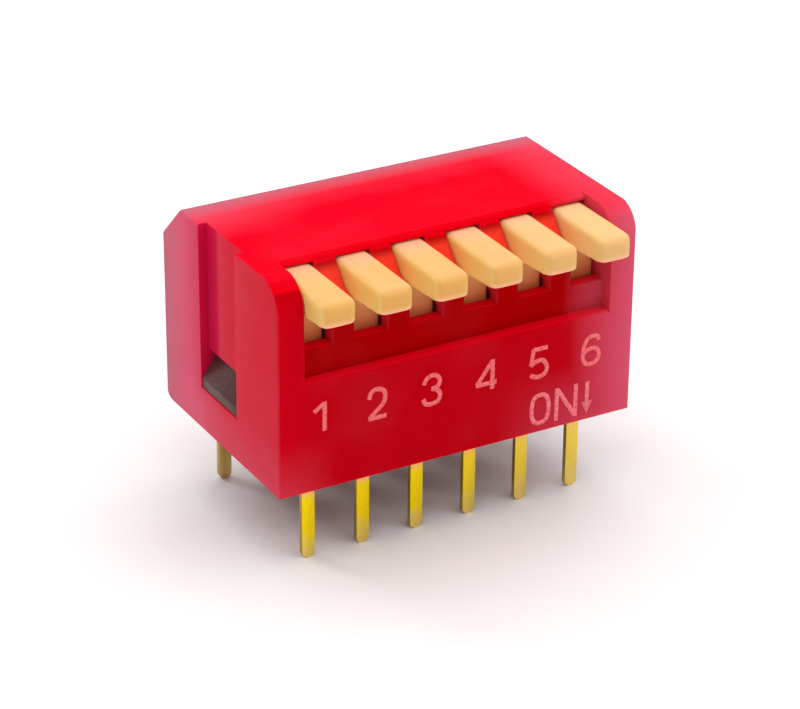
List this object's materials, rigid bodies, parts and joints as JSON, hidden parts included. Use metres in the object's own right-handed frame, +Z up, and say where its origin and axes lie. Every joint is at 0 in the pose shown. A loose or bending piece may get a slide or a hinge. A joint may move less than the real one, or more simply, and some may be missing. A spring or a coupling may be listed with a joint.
{
  "type": "piano dip switch",
  "caption": "Piano-type dip switch: a moulded body with a row of rocking keys along its front edge, each opening or closing one pair of through-hole terminals.",
  "frame": {"origin": "centre of the two rows of terminals, on the face that sits on the board", "axes": "+X along the row of keys from key 1, -Y out of the side that the keys reach over, +Z up from the board"},
  "size_m": [0.0166, 0.012, 0.0131],
  "materials": {
    "cover_plastic": "satin moulded thermoplastic polyester",
    "base_plastic": "matt moulded thermoplastic polyester",
    "key_plastic": "satin moulded nylon",
    "terminal_metal": "gold-plated strip",
    "contact_metal": "gold-plated spring strip"
  },
  "bodies": {
    "housing": {"cover": "cover_plastic", "base": "base_plastic", "front_terminal_1": "terminal_metal", "front_terminal_2": "terminal_metal", "front_terminal_3": "terminal_metal", "front_terminal_4": "terminal_metal", "front_terminal_5": "terminal_metal", "front_terminal_6": "terminal_metal", "rear_terminal_1": "terminal_metal", "rear_terminal_2": "terminal_metal", "rear_terminal_3": "terminal_metal", "rear_terminal_4": "terminal_metal", "rear_terminal_5": "terminal_metal", "rear_terminal_6": "terminal_metal"},
    "rocker_1": {"key_1": "key_plastic", "moving_contact_1": "contact_metal"},
    "rocker_2": {"key_2": "key_plastic", "moving_contact_2": "contact_metal"},
    "rocker_3": {"key_3": "key_plastic", "moving_contact_3": "contact_metal"},
    "rocker_4": {"key_4": "key_plastic", "moving_contact_4": "contact_metal"},
    "rocker_5": {"key_5": "key_plastic", "moving_contact_5": "contact_metal"},
    "rocker_6": {"key_6": "key_plastic", "moving_contact_6": "contact_metal"}
  },
  "joints": [
    {"name": "press_key_1", "type": "hinge", "parent": "housing", "child": "rocker_1", "pos_m": [-0.00635, -0.00059, 0.0063], "axis": [1, 0, 0], "range_deg": [0, 12]},
    {"name": "press_key_2", "type": "hinge", "parent": "housing", "child": "rocker_2", "pos_m": [-0.00381, -0.00059, 0.0063], "axis": [1, 0, 0], "range_deg": [0, 12]},
    {"name": "press_key_3", "type": "hinge", "parent": "housing", "child": "rocker_3", "pos_m": [-0.00127, -0.00059, 0.0063], "axis": [1, 0, 0], "range_deg": [0, 12]},
    {"name": "press_key_4", "type": "hinge", "parent": "housing", "child": "rocker_4", "pos_m": [0.00127, -0.00059, 0.0063], "axis": [1, 0, 0], "range_deg": [0, 12]},
    {"name": "press_key_5", "type": "hinge", "parent": "housing", "child": "rocker_5", "pos_m": [0.00381, -0.00059, 0.0063], "axis": [1, 0, 0], "range_deg": [0, 12]},
    {"name": "press_key_6", "type": "hinge", "parent": "housing", "child": "rocker_6", "pos_m": [0.00635, -0.00059, 0.0063], "axis": [1, 0, 0], "range_deg": [0, 12]}
  ]
}
